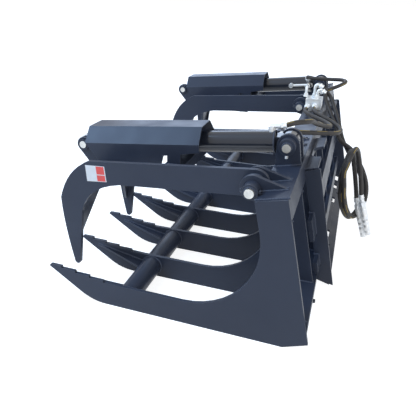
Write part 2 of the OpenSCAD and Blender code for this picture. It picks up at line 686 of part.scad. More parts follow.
hose_right_b();
hose_left_a();
hose_left_b();
main_hose_1();
main_hose_2();
coupler_1();
coupler_2();
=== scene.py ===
# %% [markdown]
# # A root grapple for a compact loader
# A root grapple is a welded comb of curved tines with two hydraulic claws that close down on it.
# The welded plates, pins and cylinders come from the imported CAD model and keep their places.
# This lesson gives them their finish and adds what a workshop adds last: smooth hoses, crimped
# ends, nuts, weld beads and a blank sticker.

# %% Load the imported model
import json
import math

import bmesh
import bpy
from mathutils import Matrix, Vector

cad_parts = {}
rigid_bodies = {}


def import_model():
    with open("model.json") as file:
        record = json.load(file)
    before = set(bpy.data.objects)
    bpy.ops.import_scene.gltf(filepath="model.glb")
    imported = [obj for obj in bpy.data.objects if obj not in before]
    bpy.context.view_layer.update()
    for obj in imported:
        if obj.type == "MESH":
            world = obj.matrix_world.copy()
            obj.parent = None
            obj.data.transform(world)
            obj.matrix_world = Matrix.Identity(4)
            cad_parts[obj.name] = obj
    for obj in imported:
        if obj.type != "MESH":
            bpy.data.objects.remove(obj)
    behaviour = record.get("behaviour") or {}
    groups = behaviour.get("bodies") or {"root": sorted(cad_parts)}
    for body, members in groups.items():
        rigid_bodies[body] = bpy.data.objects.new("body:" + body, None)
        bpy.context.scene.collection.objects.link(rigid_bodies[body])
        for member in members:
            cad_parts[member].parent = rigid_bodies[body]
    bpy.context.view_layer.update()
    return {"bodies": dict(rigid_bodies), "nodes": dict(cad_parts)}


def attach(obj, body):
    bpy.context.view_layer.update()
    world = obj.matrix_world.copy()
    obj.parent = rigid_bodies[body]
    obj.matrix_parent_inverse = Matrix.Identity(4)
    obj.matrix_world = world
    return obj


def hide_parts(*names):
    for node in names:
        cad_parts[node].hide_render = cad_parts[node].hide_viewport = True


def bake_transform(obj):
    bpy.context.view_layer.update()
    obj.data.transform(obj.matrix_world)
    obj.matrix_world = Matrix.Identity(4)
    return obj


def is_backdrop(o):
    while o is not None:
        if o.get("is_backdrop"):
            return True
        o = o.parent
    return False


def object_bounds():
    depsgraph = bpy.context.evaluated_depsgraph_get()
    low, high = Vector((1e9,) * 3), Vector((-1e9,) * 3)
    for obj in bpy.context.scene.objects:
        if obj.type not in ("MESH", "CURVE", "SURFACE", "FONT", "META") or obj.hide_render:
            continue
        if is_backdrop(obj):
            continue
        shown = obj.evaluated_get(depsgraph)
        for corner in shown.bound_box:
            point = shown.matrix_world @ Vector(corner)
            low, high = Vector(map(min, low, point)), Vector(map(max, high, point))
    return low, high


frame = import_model()
nodes = frame["nodes"]

# %% [markdown]
# ## Sizes that the pieces share
# The CAD was drawn in millimetres with Y counted from the tine tips, so one helper turns such a
# place into the model's metres. The rear frame leans forward, and a second helper gives a place
# on it from the distance behind the columns and the height along them. A third does the same
# along a cylinder.

# %% Places in millimetres
MIDDLE = 458.945
LEAN = math.radians(12.2)
HEEL = (920, 31)
PITCH = 227
HALF_WIDTH = 914
PIVOT = (697.853, 495.959)
BASE = (764.853, 570.459)
ROD_EYE = (-20.147, 479.959)
CLAW_X, ARM_OUT, HALF_PLATE = 566, 222.5, 7.5
SIDES = {"right": 1, "left": -1}
TILT = math.atan2(BASE[1] - ROD_EYE[1], BASE[0] - ROD_EYE[0])


def at(x, y, z):
    return Vector((x, y - MIDDLE, z)) / 1000


def on_column(x, behind, height):
    """A place on the leaning rear frame, in metres."""
    y = HEEL[0] + behind * math.cos(LEAN) - height * math.sin(LEAN)
    z = HEEL[1] + behind * math.sin(LEAN) + height * math.cos(LEAN)
    return at(x, y, z)


def on_cylinder(side, across, up, along):
    """A place on a cylinder, counted from its base pin, in metres."""
    y = BASE[0] + up * -math.sin(TILT) - along * math.cos(TILT)
    z = BASE[1] + up * math.cos(TILT) - along * math.sin(TILT)
    return at(side * (CLAW_X + across), y, z)


# %% [markdown]
# ## The camera
# The photograph is taken from the right, a little behind the middle and above. Its crop is off
# the lens axis, so the camera has a small shift. The numbers come from matching the corners of
# the near side plate, the tines and the pins.

# %% Set the camera
PICTURE = 416
FOCAL = 470
CENTRE = (183.94, 183.65)
STAND = (2.1252, 0.4844, 1.0556)
AZIMUTH, ELEVATION, ROLL = (math.radians(a) for a in (109.78, 22.87, -0.51))
camera_data = bpy.data.cameras.new("photo_camera")
camera_data.sensor_width = 36
camera_data.lens = FOCAL / PICTURE * camera_data.sensor_width
camera_data.shift_x = (PICTURE / 2 - CENTRE[0]) / PICTURE
camera_data.shift_y = (CENTRE[1] - PICTURE / 2) / PICTURE
camera_data.clip_start, camera_data.clip_end = 0.05, 100
camera = bpy.data.objects.new("photo_camera", camera_data)
bpy.context.scene.collection.objects.link(camera)
level = math.cos(ELEVATION)
back = Vector((math.sin(AZIMUTH) * level, -math.cos(AZIMUTH) * level, math.sin(ELEVATION)))
aim = (-back).to_track_quat("-Z", "Y").to_matrix() @ Matrix.Rotation(-ROLL, 3, "Z")
camera.location = STAND
camera.rotation_euler = aim.to_euler()
bpy.context.scene.camera = camera


def pixel(point):
    """Where a place falls in the 416 pixel picture."""
    local = camera.matrix_basis.inverted() @ point
    across, down = CENTRE[0] - FOCAL * local.x / local.z, CENTRE[1] + FOCAL * local.y / local.z
    return round(across, 1), round(down, 1)


for corner, (y, z) in {"top": (817, 509), "heel": HEEL, "toe": (-11, 118)}.items():
    print("near side plate,", corner, "at pixel", pixel(at(HALF_WIDTH, y, z)))

# %% [markdown]
# ## The hoses
# A hydraulic hose is a stiff rubber tube with steel wire inside. It leaves its fitting straight,
# and its weight pulls it into long curves. Each route is a line of places that follows the
# photograph, and its ends are those of the CAD. A smooth curve through them, swept with a round
# section, gives the hose, and a UV map with the length in it lets the rubber's weave and its
# yellow line follow the bends.

# %% A smooth route and a tube along it
HOSE_D = 18


def ways_along(points):
    """The direction of a line at each of its points, from the point before to the point after."""
    return [(after - before).normalized()
            for before, after in zip([points[0]] + points[:-1], points[1:] + [points[-1]])]


def smooth_route(points, out, into, steps=8):
    """A curve through the points that leaves and arrives in the given directions."""
    last = len(points) - 1
    ways = ways_along(points)
    ways[0], ways[last] = Vector(out).normalized(), Vector(into).normalized()
    line = []
    for i in range(last):
        a, b = points[i], points[i + 1]
        reach = (b - a).length
        for k in range(steps):
            t = k / steps
            line.append(
                (2 * t**3 - 3 * t**2 + 1) * a + (t**3 - 2 * t**2 + t) * reach * ways[i]
                + (3 * t**2 - 2 * t**3) * b + (t**3 - t**2) * reach * ways[i + 1])
    return line + [points[last]]


def length_of(line):
    return sum((b - a).length for a, b in zip(line, line[1:]))


def link(name, mesh):
    piece = bpy.data.objects.new(name, mesh)
    bpy.context.scene.collection.objects.link(piece)
    return piece


def piece_from(name, bm):
    """An object with the mesh that was drawn in bm."""
    mesh = bpy.data.meshes.new(name)
    bm.to_mesh(mesh)
    bm.free()
    return link(name, mesh)


def add_ring(bm, centre, side, other, radius, sides):
    """Adds a ring of vertices round a centre, in the plane of two directions."""
    turn = (2 * math.pi * k / sides for k in range(sides))
    return [bm.verts.new(centre + radius * (math.cos(a) * side + math.sin(a) * other)) for a in turn]


# The yellow line starts on the side of a hose that is opposite this direction.
AWAY_FROM_LINE = Vector((-0.8, -0.3, -0.5))


def tube_along(bm, line, radius, sides=20, away=AWAY_FROM_LINE):
    """Adds a closed tube along a line to bm, with a UV map of turns and metres."""
    last = len(line) - 1
    ways = ways_along(line)
    side = away
    uv = bm.loops.layers.uv.get("turns_and_metres") or bm.loops.layers.uv.new("turns_and_metres")
    rings, gone, run = [], [], 0.0
    for i, place in enumerate(line):
        side = (side - ways[i] * side.dot(ways[i])).normalized()
        rings.append(add_ring(bm, place, side, ways[i].cross(side), radius, sides))
        run += (place - line[i - 1]).length if i else 0
        gone.append(run)
    for i in range(last):
        for k in range(sides):
            n = (k + 1) % sides
            face = bm.faces.new((rings[i][k], rings[i][n], rings[i + 1][n], rings[i + 1][k]))
            face.smooth = True
            for loop, (turn, step) in zip(face.loops, ((k, i), (k + 1, i), (k + 1, i + 1), (k, i + 1))):
                loop[uv].uv = (turn / sides, gone[step])
    bm.faces.new(list(reversed(rings[0])))
    bm.faces.new(rings[last])


def swept(name, line, radius, away=AWAY_FROM_LINE):
    """A tube along a line, as a piece of its own."""
    bm = bmesh.new()
    tube_along(bm, line, radius, away=away)
    return piece_from(name, bm)


# %% [markdown]
# Two short hoses serve each cylinder, and two long ones loop down behind the frame and up over
# themselves to the quick couplers. The cylinder turns on its base pin as the claw moves.

# %% Routes of the six hoses
def places(*points):
    return [at(*p) for p in points]


ALONG = Vector((0, -math.cos(TILT), -math.sin(TILT)))
COUPLER_TILT = math.radians(17)
COUPLER_WAY = Vector((0, math.sin(COUPLER_TILT), -math.cos(COUPLER_TILT)))
COUPLER_TOPS = [at(174, 1022, 217), at(199, 1037, 243)]
BLOCK_TOP, BLOCK_SIDE, NIPPLE_FACE = 554.5, -200, -178
SIDE_PORTS = {"hose_right_a": (741.853, 516.459), "hose_right_b": (776.853, 522.459)}
BEND = 14


def riser_line(x, y, top, way, angle):
    """An elbow's middle line: up from the block, then over its bend towards way."""
    start, way, up = at(x, y, top - BEND), Vector(way), Vector((0, 0, 1))
    bend = [math.radians(angle) * k / 12 for k in range(13)]
    over = [start + (way * (1 - math.cos(a)) + up * math.sin(a)) * BEND / 1000 for a in bend]
    return [at(x, y, BLOCK_TOP)] + over


RISERS = {
    "hose_left_b": riser_line(-250, 725, 602, (-1, 0, 0), 90),
    "main_hose_1": riser_line(-255, 764, 616, (0, 1, 0), 122),
    "main_hose_2": riser_line(-222, 781, 598, (0, 1, 0), 122),
    "hose_left_a": riser_line(-277, 775, 578, (0, 1, 0), 90),
}
DOWN_BACK = RISERS["main_hose_1"][-1] - RISERS["main_hose_1"][-2]
PORT_ANGLE, PORT_REACH, PORT_ALONG = math.radians(60), 66.3, 60
elbow_face = on_cylinder(1, 0, 54, 29.7)
line_faces = {name: on_cylinder(s, -72.3, 0, 44) for name, s in SIDES.items()}
turned_face = on_cylinder(
    -1, -PORT_REACH * math.sin(PORT_ANGLE), PORT_REACH * math.cos(PORT_ANGLE), PORT_ALONG)
turned_way = (turned_face - on_cylinder(-1, 0, 0, PORT_ALONG)).normalized()
ROUTES = {
    "hose_right_a": (
        [at(NIPPLE_FACE, *SIDE_PORTS["hose_right_a"])] + places(
            (-110, 740, 517), (-40, 772, 517), (40, 826, 520), (120, 866, 524), (200, 872, 536),
            (280, 846, 560), (370, 822, 592), (440, 822, 614), (502, 812, 628), (548, 776, 632))
        + [elbow_face],
        (1, 0, 0), ALONG),
    "hose_right_b": (
        [at(NIPPLE_FACE, *SIDE_PORTS["hose_right_b"])] + places(
            (-110, 782, 521), (-30, 822, 520), (50, 880, 514), (130, 914, 510),
            (210, 904, 516), (280, 860, 530), (350, 808, 546), (420, 752, 560)) + [line_faces["right"]],
        (1, 0, 0), (1, 0, 0)),
    "hose_left_a": (
        [turned_face] + places(
            (-468, 704, 613), (-444, 719, 615), (-429, 743, 615), (-424, 770, 615), (-419, 829, 617),
            (-399, 878, 621), (-349, 900, 622), (-299, 879, 613), (-278, 829, 592))
        + [RISERS["hose_left_a"][-1]],
        turned_way, (0, -1, 0)),
    "hose_left_b": (
        [RISERS["hose_left_b"][-1]] + places((-350, 724, 598), (-430, 722, 578)) + [line_faces["left"]],
        (-1, 0, 0), (-1, 0, 0)),
    "main_hose_1": (
        [RISERS["main_hose_1"][-1]] + places(
            (-236, 837, 572), (-200, 865, 529), (-142, 897, 471), (-92, 925, 408), (-50, 955, 366),
            (-12, 986, 334), (24, 1017, 296), (48, 1040, 237), (74, 1042, 182), (118, 1025, 145),
            (182, 998, 143), (244, 970, 200), (292, 950, 286), (309, 949, 327), (317, 944, 384),
            (312, 949, 411), (296, 954, 434), (273, 960, 450), (246, 965, 455), (218, 970, 450),
            (195, 976, 434), (179, 981, 411), (174, 986, 384), (174, 998, 333), (174, 1010, 275))
        + [COUPLER_TOPS[0]],
        DOWN_BACK, COUPLER_WAY),
    "main_hose_2": (
        [RISERS["main_hose_2"][-1]] + places(
            (-206, 828, 546), (-168, 858, 497), (-112, 889, 454), (-58, 917, 409), (-30, 969, 380),
            (8, 1000, 348), (44, 1031, 310), (68, 1054, 251), (94, 1056, 196), (138, 1039, 159),
            (202, 1012, 157), (264, 984, 214), (317, 965, 298), (336, 960, 344), (342, 953, 402),
            (337, 960, 430), (321, 966, 453), (298, 973, 469), (270, 980, 474), (243, 986, 469),
            (220, 993, 453), (204, 999, 430), (199, 1006, 402), (199, 1017, 352), (199, 1027, 298))
        + [COUPLER_TOPS[1]],
        DOWN_BACK, COUPLER_WAY),
}

# %% Sweep the hoses
AWAY_ON_LOOPS = Vector((0.58, -0.42, -0.68))
hoses, lines = {}, {}
for name, (points, out, into) in ROUTES.items():
    lines[name] = smooth_route(points, out, into)
    away = AWAY_ON_LOOPS if name.startswith("main") else AWAY_FROM_LINE
    hoses[name] = swept("rubber_" + name, lines[name], HOSE_D / 2000, away)
    print(name, "is", round(length_of(lines[name]), 3), "m long")

# %% [markdown]
# ## Materials
# Every finish is built from nodes: the paint's colour drifts a little over a plate and catches
# light on its rounded edges, zinc has a cloudy plating, and the hose's cover shows its weave.
# A small function starts each material, so the cells below only hold what is special to it.

# %% Start a material
def finish_named(name, **sockets):
    made = bpy.data.materials.new(name)
    made.use_nodes = True
    tree = made.node_tree
    shader = tree.nodes["Principled BSDF"]
    for socket, value in sockets.items():
        shader.inputs[socket.replace("_", " ")].default_value = value
    return made, tree, shader


def add(tree, kind, **settings):
    """A node with its properties and input values set in one call."""
    made = tree.nodes.new(kind)
    for name, value in settings.items():
        if hasattr(made, name):
            setattr(made, name, value)
        else:
            made.inputs[name.replace("_", " ")].default_value = value
    return made


def noise(tree, scale, detail):
    coordinates = add(tree, "ShaderNodeTexCoord")
    made = add(tree, "ShaderNodeTexNoise", Scale=scale, Detail=detail)
    tree.links.new(coordinates.outputs["Object"], made.inputs["Vector"])
    return made.outputs["Fac"]


def ranged(tree, value, low, high, to_low, to_high):
    made = add(tree, "ShaderNodeMapRange")
    for name, number in (("From Min", low), ("From Max", high), ("To Min", to_low), ("To Max", to_high)):
        made.inputs[name].default_value = number
    tree.links.new(value, made.inputs["Value"])
    return made.outputs["Result"]


def patches(tree, scale, detail, to_low=0, to_high=1, band=(0.3, 0.7)):
    """A noise whose middle band is stretched between two values."""
    return ranged(tree, noise(tree, scale, detail), *band, to_low, to_high)


def mixed(tree, share, one, other):
    """A colour between two, each given as numbers or as the output of a node."""
    made = add(tree, "ShaderNodeMix", data_type="RGBA")
    tree.links.new(share, made.inputs["Factor"])
    for socket, value in ((made.inputs[6], one), (made.inputs[7], other)):
        if isinstance(value, bpy.types.NodeSocket):
            tree.links.new(value, socket)
        else:
            socket.default_value = (*value, 1)
    return made.outputs[2]


def rough_surface(tree, shader, height, strength, distance, normal=None):
    bump = add(tree, "ShaderNodeBump", Strength=strength, Distance=distance)
    tree.links.new(height, bump.inputs["Height"])
    if normal is not None:
        tree.links.new(normal, bump.inputs["Normal"])
    tree.links.new(bump.outputs["Normal"], shader.inputs["Normal"])


def rounded_edges(tree, radius):
    """The normal of softly rounded edges, and how near an edge a place is."""
    bevel = add(tree, "ShaderNodeBevel", samples=4, Radius=radius)
    geometry = add(tree, "ShaderNodeNewGeometry")
    dot = add(tree, "ShaderNodeVectorMath", operation="DOT_PRODUCT")
    tree.links.new(bevel.outputs["Normal"], dot.inputs[0])
    tree.links.new(geometry.outputs["Normal"], dot.inputs[1])
    return bevel.outputs["Normal"], ranged(tree, dot.outputs["Value"], 0.999, 0.93, 0, 1)


# %% [markdown]
# The paint is a slate blue powder coat. On steel plate it keeps a faint orange peel, and along
# cut edges it turns paler: partly thinner paint, partly a painted highlight for the light the
# edges catch. Three noises vary its colour, its gloss and the peel, and Blender's Bevel node
# finds the edges without changing the CAD plates.

# %% Slate paint
# The second colour is the pale colour of the edges: thin paint and a painted highlight.
SLATE, EDGE_WEAR_AND_HIGHLIGHT = (0.034, 0.042, 0.066), (0.16, 0.175, 0.21)


def slate_paint(name, colour, peel, coat=0.1, coat_roughness=0.18):
    made, tree, shader = finish_named(
        name, Specular_IOR_Level=0.2, Coat_Weight=coat, Coat_Roughness=coat_roughness)
    drift = patches(tree, 2.6, 4)
    body = mixed(tree, drift, [c * 0.9 for c in colour], [c * 1.12 for c in colour])
    normal, edge = rounded_edges(tree, 0.0016)
    # Paler towards the edges: thinner paint and a painted highlight.
    edge_wear_and_highlight = mixed(tree, ranged(tree, edge, 0, 1, 0, 0.55), body, EDGE_WEAR_AND_HIGHLIGHT)
    tree.links.new(edge_wear_and_highlight, shader.inputs["Base Color"])
    tree.links.new(patches(tree, 11, 3, 0.36, 0.5), shader.inputs["Roughness"])
    rough_surface(tree, shader, noise(tree, 420, 2), peel, 0.0004, normal)
    return made


paint = slate_paint("slate_powder_coat", SLATE, 0.05)
# The weld beads' paint is one and a half times as light as the slate: partly worn paint, partly a
# painted highlight for the light the beads catch.
weld_wear_and_painted_highlight = slate_paint("weld_paint_wear_and_painted_highlight", [c * 1.5 for c in SLATE], 0.2)
# The barrels take the slate at under half its brightness with a thick clear coat; the darkness is
# painted shade for the shadow they sit in under the claw covers.
tube_paint_with_painted_shade = slate_paint("gloss_cylinder_paint_painted_shade", [c * 0.45 for c in SLATE], 0.02, 0.8, 0.08)

# %% [markdown]
# Fittings and pins are zinc plated. Plating is bright, a little cloudy and slightly warm or
# cool in patches. The rods are hard chrome, the same recipe with far less roughness, so they come
# close to a mirror.

# %% Zinc, pin steel and chrome
def plated(name, cool, warm, low, high, metal=1.0):
    made, tree, shader = finish_named(name, Metallic=metal)
    cloud = patches(tree, 55, 4, band=(0.35, 0.65))
    tree.links.new(mixed(tree, cloud, cool, warm), shader.inputs["Base Color"])
    tree.links.new(patches(tree, 90, 3, low, high), shader.inputs["Roughness"])
    normal, _ = rounded_edges(tree, 0.0008)
    rough_surface(tree, shader, noise(tree, 700, 2), 0.06, 0.0002, normal)
    return made


zinc = plated("bright_zinc", (0.8, 0.84, 0.88), (0.9, 0.9, 0.88), 0.32, 0.48, metal=0.72)
# The couplers' zinc is nearly white with little metal: bright plating, with a painted highlight for the
# glare they show in strong light.
coupler_zinc_and_painted_highlight = plated("coupler_zinc_and_painted_highlight", (0.95, 0.97, 0.99), (0.98, 0.98, 0.98), 0.3, 0.42, metal=0.4)
pin_steel = plated("pin_steel", (0.5, 0.5, 0.48), (0.62, 0.61, 0.57), 0.34, 0.5)
chrome = plated("hard_chrome", (0.62, 0.63, 0.66), (0.66, 0.67, 0.69), 0.07, 0.12)

# %% [markdown]
# The hose's outer rubber is brown black with the cloth wrap's weave pressed into it, and one
# yellow line runs along it. Both read the hose's own UV map: turns round it and metres along it.

# %% Hose rubber
WEAVE_PER_METRE, WEAVE_PER_TURN = 420, 50.3
LINE_HALF_WIDTH, DASHES_PER_METRE = 0.02, 62
DARK_RUBBER, WORN_RUBBER, LINE_YELLOW = (0.017, 0.014, 0.013), (0.034, 0.029, 0.027), (0.56, 0.38, 0.06)
rubber, tree, shader = finish_named("hose_rubber", Roughness=0.58)
hose_uv = add(tree, "ShaderNodeUVMap", uv_map="turns_and_metres")
split = add(tree, "ShaderNodeSeparateXYZ")
tree.links.new(hose_uv.outputs["UV"], split.inputs[0])


def calc(tree, operation, one, other=None):
    made = add(tree, "ShaderNodeMath", operation=operation)
    for socket, value in zip(made.inputs, (one, other)):
        if isinstance(value, bpy.types.NodeSocket):
            tree.links.new(value, socket)
        elif value is not None:
            socket.default_value = value
    return made.outputs[0]


turns, metres = split.outputs["X"], split.outputs["Y"]
off_line = calc(tree, "ABSOLUTE", calc(tree, "SUBTRACT", turns, 0.5))
on_line = calc(tree, "LESS_THAN", off_line, LINE_HALF_WIDTH)
beat = calc(tree, "SINE", calc(tree, "MULTIPLY", metres, DASHES_PER_METRE))
dash = calc(tree, "GREATER_THAN", beat, -0.3)
yellow = calc(tree, "MULTIPLY", calc(tree, "MULTIPLY", on_line, dash), 0.85)
cover = mixed(tree, patches(tree, 30, 3), DARK_RUBBER, WORN_RUBBER)
tree.links.new(mixed(tree, yellow, cover, LINE_YELLOW), shader.inputs["Base Color"])
along_it = calc(tree, "MULTIPLY", metres, WEAVE_PER_METRE)
round_it = calc(tree, "MULTIPLY", turns, WEAVE_PER_TURN)
one_way = calc(tree, "SINE", calc(tree, "ADD", along_it, round_it))
other_way = calc(tree, "SINE", calc(tree, "SUBTRACT", along_it, round_it))
rough_surface(tree, shader, calc(tree, "MULTIPLY", one_way, other_way), 0.3, 0.0004)

# %% [markdown]
# Now each CAD node gets its finish by name. A pin and its collar are one CAD solid, but the real
# collar is painted with the frame and the pin is bare, so its faces are sorted by how far they
# lie from the pin's axis.

# %% Dress the CAD nodes
# The barrels get the darker cylinder paint, with its painted shade.
BARE = {"barrel": tube_paint_with_painted_shade, "ports": zinc, "manifold": zinc, "coupler": coupler_zinc_and_painted_highlight,
        "rod_right": chrome, "rod_left": chrome}
PIN_AXES = {"pivot_pins": (PIVOT, 15), "base_pin": (BASE, 14), "rod_pin": (ROD_EYE, 14)}
SLACK = 0.0008


def dress(name, *finishes):
    mesh = nodes[name].data
    mesh.materials.clear()
    for finish in finishes:
        mesh.materials.append(finish)
    return mesh


for name in nodes:
    dress(name, next((finish for start, finish in BARE.items() if name.startswith(start)), paint))
for kind, ((y, z), radius) in PIN_AXES.items():
    axis = at(0, y, z)
    for side in SIDES:
        mesh = dress(f"{kind}_{side}", pin_steel, paint)
        for face in mesh.polygons:
            corners = (mesh.vertices[i].co for i in face.vertices)
            off = max(Vector((0, v.y - axis.y, v.z - axis.z)).length for v in corners)
            face.material_index = 1 if off > radius / 1000 + SLACK else 0
print("dressed", len(nodes), "nodes")

# %% [markdown]
# ## Hose ends
# A crimped end is a turned sleeve with pressed ridges and a hex nut behind it. Both are a
# profile turned round the hose's own direction, so one lathe function makes every one of them:
# with many sides it gives a sleeve, with six a nut.

# %% A lathe for sleeves and nuts
def turned(bm, start, way, profile, sides=24, smooth=True):
    """Adds a profile of (along, radius) in millimetres, turned round a line, to bm."""
    way = Vector(way).normalized()
    side = way.orthogonal().normalized()
    rings = [add_ring(bm, start + way * along / 1000, side, way.cross(side), radius / 1000, sides)
             for along, radius in profile]
    for near, far in zip(rings, rings[1:]):
        for k in range(sides):
            n = (k + 1) % sides
            bm.faces.new((near[k], near[n], far[n], far[k])).smooth = smooth
    bm.faces.new(list(reversed(rings[0])))
    bm.faces.new(rings[-1])


def nut_profile(start, thick, radius):
    """A nut with both its rims chamfered by a millimetre."""
    end = start + thick
    return [(start, radius * 0.9), (start + 1, radius), (end - 1, radius), (end, radius * 0.9)]


def crimp_profile(start, length, radius):
    """A sleeve pressed down in rings."""
    shape = [(start, radius * 0.86), (start + 1.5, radius)]
    ridges = round(length / 6)
    step = (length - 4) / ridges
    for k in range(ridges):
        a, groove = start + 2 + k * step, radius * 0.92
        shape += [(a, radius), (a + 0.2 * step, groove),
                  (a + 0.6 * step, groove), (a + 0.8 * step, radius)]
    return shape + [(start + length - 1, radius), (start + length, radius * 0.8)]


def made_piece(name, bm, finish, body):
    piece = piece_from(name, bm)
    piece.data.materials.append(finish)
    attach(piece, body)
    return piece


# %% Crimped ends of every hose
ON_BARREL = {("hose_right_a", 1): "right_barrel", ("hose_right_b", 1): "right_barrel",
             ("hose_left_a", 0): "left_barrel", ("hose_left_b", 1): "left_barrel"}
NUT_LENGTH, NUT_RADIUS, CRIMP_LENGTH, CRIMP_RADIUS = 7, 12, 13, 10.8
for name, line in lines.items():
    for end in (0, 1):
        run = line if end == 0 else line[::-1]
        way = (run[1] - run[0]).normalized()
        bm = bmesh.new()
        turned(bm, run[0], way, nut_profile(0, NUT_LENGTH, NUT_RADIUS), sides=6, smooth=False)
        turned(bm, run[0], way, crimp_profile(NUT_LENGTH, CRIMP_LENGTH, CRIMP_RADIUS))
        body = ON_BARREL.get((name, end), "frame")
        finish = coupler_zinc_and_painted_highlight if name.startswith("main") and end else zinc
        made_piece(f"crimp_{name}_{end + 1}", bm, finish, body)

# %% [markdown]
# A quick coupler is turned from bar: a neck for the hose's end, a hex to hold it, a sleeve that
# slides back with ridges for the fingers, and the nose that enters its other half, with a groove
# for the locking balls.

# %% Quick couplers
NECK = [(0, 9.9), (16, 9.9)]
HEX = [(14, 10), (15, 14), (33, 14), (34, 12)]
RIDGES = [(start + along, radius) for start in range(48, 72, 4)
          for along, radius in ((0, 13.4), (1, 12.4), (3, 12.4), (4, 13.4))]
SLEEVE = ([(34, 11), (35, 13.2), (40, 13.2), (41, 12.3), (44, 12.3), (45, 13.4)] + RIDGES
          + [(80, 13.2), (86, 13.2), (88, 12.8), (94, 12.8)])
NOSE = [(94, 12.2), (112, 12.2), (113.5, 11), (119, 11), (120.5, 12.2), (142, 12.2), (143, 11.4),
        (147, 11.4), (148, 12.2), (162, 12.2), (165, 11), (165, 8), (158, 7.4), (158, 4)]
# The couplers take the nearly white zinc, which holds a painted highlight.
for i, top in enumerate(COUPLER_TOPS):
    bm = bmesh.new()
    turned(bm, top, COUPLER_WAY, NECK)
    turned(bm, top, COUPLER_WAY, HEX, sides=6, smooth=False)
    for profile in (SLEEVE, NOSE):
        turned(bm, top, COUPLER_WAY, profile, sides=40)
    piece = made_piece(f"quick_coupler_{i + 1}", bm, coupler_zinc_and_painted_highlight, "frame")
    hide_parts(f"coupler_{i + 1}")

# %% [markdown]
# The six hoses replace their faceted CAD bodies. The two long ones ride on the frame, and those
# of the cylinders keep their place in the scene without a parent.

# %% Finish and place the hoses
BLENDS = {
    "hose_right_a": ("frame", "right_barrel", at(380, 820, 594), at(560, 740, 625)),
    "hose_right_b": ("frame", "right_barrel", at(330, 822, 541), at(490, 722, 565)),
    "hose_left_a": ("left_barrel", "frame", at(-500, 700, 600), at(-424, 740, 616)),
    "hose_left_b": ("frame", "left_barrel", at(-330, 724, 599), at(-490, 721, 566)),
}
for name, hose in hoses.items():
    hose.data.materials.append(rubber)
    if name in BLENDS:
        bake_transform(hose)
    else:
        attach(hose, "frame")
    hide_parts(name)

# %% [markdown]
# ## Weld beads
# Every plate is welded to its neighbour, and the painted bead is a row of small overlapping
# scales. The seams are drawn as thin lines, and a Geometry Nodes tree lays one scale every few
# millimetres along them. That keeps the rule in one place: change the pitch and all the seams
# follow.

# %% A tree that lays a bead along lines
SMALLEST, LARGEST = 0.85, 1.15


def bead_tree():
    tree = bpy.data.node_groups.new("weld_bead_along_seams", "GeometryNodeTree")
    inputs = {"Seams": "Geometry", "Pitch": "Float", "Width": "Float", "Seed": "Int",
              "Finish": "Material"}
    for name, kind in inputs.items():
        tree.interface.new_socket(name, in_out="INPUT", socket_type="NodeSocket" + kind)
    tree.interface.new_socket("Bead", in_out="OUTPUT", socket_type="NodeSocketGeometry")
    given, result = tree.nodes.new("NodeGroupInput"), tree.nodes.new("NodeGroupOutput")
    curve = tree.nodes.new("GeometryNodeMeshToCurve")
    spaced = tree.nodes.new("GeometryNodeResampleCurve")
    spaced.mode = "LENGTH"
    scale_shape = tree.nodes.new("GeometryNodeMeshUVSphere")
    for name, value in (("Segments", 6), ("Rings", 4), ("Radius", 1)):
        scale_shape.inputs[name].default_value = value
    tangent = tree.nodes.new("GeometryNodeInputTangent")
    turn = tree.nodes.new("FunctionNodeAlignRotationToVector")
    turn.axis = "X"
    vary = tree.nodes.new("FunctionNodeRandomValue")
    vary.inputs[2].default_value, vary.inputs[3].default_value = SMALLEST, LARGEST
    wide = tree.nodes.new("ShaderNodeMath")
    wide.operation = "MULTIPLY"
    size = tree.nodes.new("ShaderNodeCombineXYZ")
    lay = tree.nodes.new("GeometryNodeInstanceOnPoints")
    real = tree.nodes.new("GeometryNodeRealizeInstances")
    soft = tree.nodes.new("GeometryNodeSetShadeSmooth")
    paint_it = tree.nodes.new("GeometryNodeSetMaterial")
    wires = (
        (given, "Seams", curve, "Mesh"), (curve, "Curve", spaced, "Curve"),
        (given, "Pitch", spaced, "Length"), (spaced, "Curve", lay, "Points"),
        (scale_shape, "Mesh", lay, "Instance"), (tangent, "Tangent", turn, "Vector"),
        (turn, "Rotation", lay, "Rotation"), (given, "Seed", vary, "Seed"),
        (vary, 1, wide, 0), (given, "Width", wide, 1),
        (given, "Pitch", size, "X"), (wide, 0, size, "Y"),
        (wide, 0, size, "Z"), (size, "Vector", lay, "Scale"),
        (lay, "Instances", real, "Geometry"), (real, "Geometry", soft, "Geometry"),
        (soft, "Geometry", paint_it, "Geometry"), (given, "Finish", paint_it, "Material"),
        (paint_it, "Geometry", result, "Bead"))
    for a, out, b, into in wires:
        tree.links.new(a.outputs[out], b.inputs[into])
    return tree


BEADS = bead_tree()


def as_plain_mesh(source, name):
    """Turns an object's modifiers into its mesh."""
    graph = bpy.context.evaluated_depsgraph_get()
    mesh = bpy.data.meshes.new_from_object(source.evaluated_get(graph))
    piece = link(name, mesh)
    bpy.data.objects.remove(source)
    return piece


# %% [markdown]
# The seams themselves are listed by where plates meet. Most lie in a plane of one x, so a seam
# needs that x and the stops along it, and a round one needs its centre and radius.

# %% Ways to draw a seam
TURN = [2 * math.pi * k / 28 for k in range(29)]
TUBE, TUBE_RADIUS = (297, 46), 38.5
RAILS, RAIL_REACH = ((90, 130), (215, 295)), 640
BEAM_TOP = 489.5
seams = {body: [] for body in frame["bodies"]}


def seam(body, *stops):
    seams[body].append(list(stops))


def ring_seam(body, x, centre, radius):
    y, z = centre
    seam(body, *(at(x, y + radius * math.cos(a), z + radius * math.sin(a)) for a in TURN))


def straight_seam(body, x, *stops):
    """A seam at one x through stops given as (y, z)."""
    seam(body, *(at(x, *stop) for stop in stops))


def column_seam(x, *stops):
    """A frame seam at one x through stops given as (behind, height) on the leaning columns."""
    seam("frame", *(on_column(x, *stop) for stop in stops))


